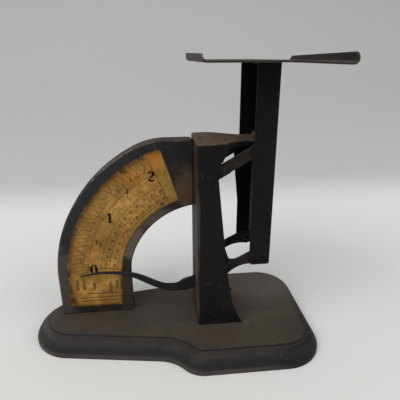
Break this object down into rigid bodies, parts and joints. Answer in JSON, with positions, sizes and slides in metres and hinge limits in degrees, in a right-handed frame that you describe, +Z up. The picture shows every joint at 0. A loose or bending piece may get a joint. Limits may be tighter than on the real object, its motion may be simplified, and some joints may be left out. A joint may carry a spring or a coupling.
{
  "type": "postal scale",
  "caption": "Spring letter scale: stamped base, folded column, quadrant dial with a curved pointer, and a flat platform on a channel carried by two parallel links.",
  "frame": {"origin": "on the table under the middle of the bounding box", "axes": "+X to the right as the dial is read, +Y away from the reader, +Z up; the dial faces -Y"},
  "size_m": [0.1912, 0.1054, 0.1862],
  "materials": {
    "japanned_base": "dark brown-black japan, aged and satin",
    "japanned_steel": "near-black japan, worn at the edges",
    "dial_case": "brown-black japan, worn and stained",
    "printed_paper": "varnished paper, aged to ochre",
    "pointer_steel": "black, satin",
    "platform_japan": "black japan worn to grey on top",
    "pivot_steel": "darkened steel",
    "fasteners": "tarnished steel",
    "brass_bushes": "dull brass",
    "rusty_brass": "dull brass with rust",
    "spring_steel": "dull spring steel"
  },
  "bodies": {
    "base": {"base": "japanned_base", "column": "japanned_steel", "column_screws": "fasteners", "column_nuts": "fasteners", "dial_case": "dial_case", "dial_paper": "printed_paper", "dial_rivets": "fasteners", "dial_screws": "fasteners", "dial_nuts": "fasteners", "lower_fixed_pivots": "pivot_steel", "upper_fixed_pivots": "pivot_steel", "pivot_bushes": "brass_bushes", "zero_screw": "rusty_brass", "spring": "spring_steel"},
    "lower_lever": {"lower_lever": "japanned_steel", "pointer": "pointer_steel", "pointer_rivets": "fasteners"},
    "plunger": {"plunger": "japanned_steel", "lower_moving_pivots": "pivot_steel", "upper_moving_pivots": "pivot_steel", "spring_seat": "japanned_steel", "seat_rivets": "fasteners", "platform": "platform_japan", "platform_rivets": "fasteners"},
    "upper_link": {"upper_link": "japanned_steel"},
    "spring_foot": {"spring_stem": "spring_steel", "stem_washer": "spring_steel", "stem_pin": "spring_steel"},
    "zero_nut": {"zero_nut": "rusty_brass"}
  },
  "joints": [
    {"name": "lever_swing", "type": "hinge", "parent": "base", "child": "lower_lever", "pos_m": [0.02325, 0, 0.04284], "axis": [0, 1, 0], "range_deg": [0, 65], "stiffness_Nm_per_rad": 0.21, "springref_deg": -22.35},
    {"name": "plunger_level", "type": "hinge", "parent": "lower_lever", "child": "plunger", "pos_m": [0.05255, 0, 0.05968], "axis": [0, 1, 0], "range_deg": [-65, 0]},
    {"name": "upper_link_swing", "type": "hinge", "parent": "base", "child": "upper_link", "pos_m": [0.02325, 0, 0.11514], "axis": [0, 1, 0], "range_deg": [0, 65]},
    {"name": "spring_stretch", "type": "slide", "parent": "base", "child": "spring_foot", "axis": [0, 0, -1], "range_m": [0, 0.03676], "deforming": ["spring"]},
    {"name": "zero_nut_turn", "type": "hinge", "parent": "base", "child": "zero_nut", "pos_m": [0.05575, 0, 0.1382], "axis": [0, 0, 1], "range_deg": [-180, 180]}
  ],
  "couplings": [
    {"joint": "plunger_level", "follows": "lever_swing", "ratio": -1},
    {"joint": "upper_link_swing", "follows": "lever_swing", "ratio": 1},
    {"joint": "spring_stretch", "follows": "lever_swing", "m_per_rad": 0.0324}
  ]
}
